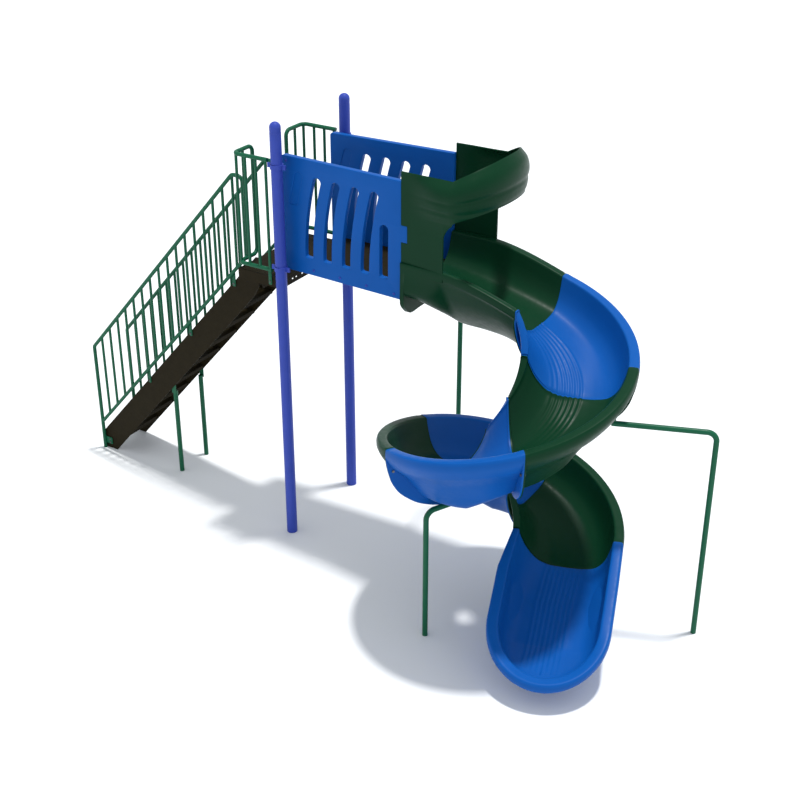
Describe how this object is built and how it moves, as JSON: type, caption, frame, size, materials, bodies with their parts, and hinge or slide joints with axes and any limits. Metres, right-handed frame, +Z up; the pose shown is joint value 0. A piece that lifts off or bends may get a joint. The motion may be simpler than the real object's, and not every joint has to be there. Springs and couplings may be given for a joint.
{
  "type": "spiral playground slide",
  "caption": "Free-standing spiral playground slide: stair with handrails to a small deck, hooded entry chute, curved trough sections down to a rounded exit.",
  "frame": {"origin": "centre of the footprint, on the ground", "axes": "+Z up, +X from the stair towards the slide, +Y from the near post to the far post"},
  "size_m": [5.8324, 2.1622, 3.5838],
  "materials": {
    "deck": "brown plastic-coated steel",
    "far_guard": "green powder coat",
    "far_handrail": "green powder coat",
    "far_lower_clamp_inner": "blue powder coat",
    "far_lower_clamp_outer": "blue powder coat",
    "far_panel": "blue moulded plastic",
    "far_post": "blue powder coat",
    "far_post_cap": "blue powder coat",
    "far_stair_leg": "green powder coat",
    "far_stringer": "brown plastic-coated steel",
    "far_upper_clamp_inner": "blue powder coat",
    "far_upper_clamp_outer": "blue powder coat",
    "joint_bolt_0": "zinc plated",
    "joint_bolt_1": "zinc plated",
    "joint_bolt_2": "zinc plated",
    "joint_bolt_3": "zinc plated",
    "joint_bolt_4": "zinc plated",
    "joint_bolt_5": "zinc plated",
    "joint_bolt_6": "zinc plated",
    "landing": "brown plastic-coated steel",
    "near_guard": "green powder coat",
    "near_handrail": "green powder coat",
    "near_lower_clamp_inner": "blue powder coat",
    "near_lower_clamp_outer": "blue powder coat",
    "near_panel": "blue moulded plastic",
    "near_post": "blue powder coat",
    "near_post_cap": "blue powder coat",
    "near_stair_leg": "green powder coat",
    "near_stringer": "brown plastic-coated steel",
    "near_upper_clamp_inner": "blue powder coat",
    "near_upper_clamp_outer": "blue powder coat",
    "pole_a": "green powder coat",
    "pole_a_bracket": "green powder coat",
    "pole_b": "green powder coat",
    "pole_b_bracket": "green powder coat",
    "pole_c": "green powder coat",
    "pole_c_bracket": "green powder coat",
    "slide_exit": "blue moulded plastic",
    "slide_hood": "dark green moulded plastic",
    "slide_section_1": "blue moulded plastic",
    "slide_section_2": "dark green moulded plastic",
    "slide_section_3": "blue moulded plastic",
    "slide_section_4": "dark green moulded plastic",
    "slide_section_5": "blue moulded plastic",
    "slide_section_6": "dark green moulded plastic",
    "tread_1": "brown plastic-coated steel",
    "tread_2": "brown plastic-coated steel",
    "tread_3": "brown plastic-coated steel",
    "tread_4": "brown plastic-coated steel",
    "tread_5": "brown plastic-coated steel",
    "tread_6": "brown plastic-coated steel",
    "tread_7": "brown plastic-coated steel",
    "tread_8": "brown plastic-coated steel",
    "tread_9": "brown plastic-coated steel"
  },
  "bodies": {
    "root": {"deck": "deck", "far_guard": "far_guard", "far_handrail": "far_handrail", "far_lower_clamp_inner": "far_lower_clamp_inner", "far_lower_clamp_outer": "far_lower_clamp_outer", "far_panel": "far_panel", "far_post": "far_post", "far_post_cap": "far_post_cap", "far_stair_leg": "far_stair_leg", "far_stringer": "far_stringer", "far_upper_clamp_inner": "far_upper_clamp_inner", "far_upper_clamp_outer": "far_upper_clamp_outer", "joint_bolt_0": "joint_bolt_0", "joint_bolt_1": "joint_bolt_1", "joint_bolt_2": "joint_bolt_2", "joint_bolt_3": "joint_bolt_3", "joint_bolt_4": "joint_bolt_4", "joint_bolt_5": "joint_bolt_5", "joint_bolt_6": "joint_bolt_6", "landing": "landing", "near_guard": "near_guard", "near_handrail": "near_handrail", "near_lower_clamp_inner": "near_lower_clamp_inner", "near_lower_clamp_outer": "near_lower_clamp_outer", "near_panel": "near_panel", "near_post": "near_post", "near_post_cap": "near_post_cap", "near_stair_leg": "near_stair_leg", "near_stringer": "near_stringer", "near_upper_clamp_inner": "near_upper_clamp_inner", "near_upper_clamp_outer": "near_upper_clamp_outer", "pole_a": "pole_a", "pole_a_bracket": "pole_a_bracket", "pole_b": "pole_b", "pole_b_bracket": "pole_b_bracket", "pole_c": "pole_c", "pole_c_bracket": "pole_c_bracket", "slide_exit": "slide_exit", "slide_hood": "slide_hood", "slide_section_1": "slide_section_1", "slide_section_2": "slide_section_2", "slide_section_3": "slide_section_3", "slide_section_4": "slide_section_4", "slide_section_5": "slide_section_5", "slide_section_6": "slide_section_6", "tread_1": "tread_1", "tread_2": "tread_2", "tread_3": "tread_3", "tread_4": "tread_4", "tread_5": "tread_5", "tread_6": "tread_6", "tread_7": "tread_7", "tread_8": "tread_8", "tread_9": "tread_9"}
  },
  "joints": []
}
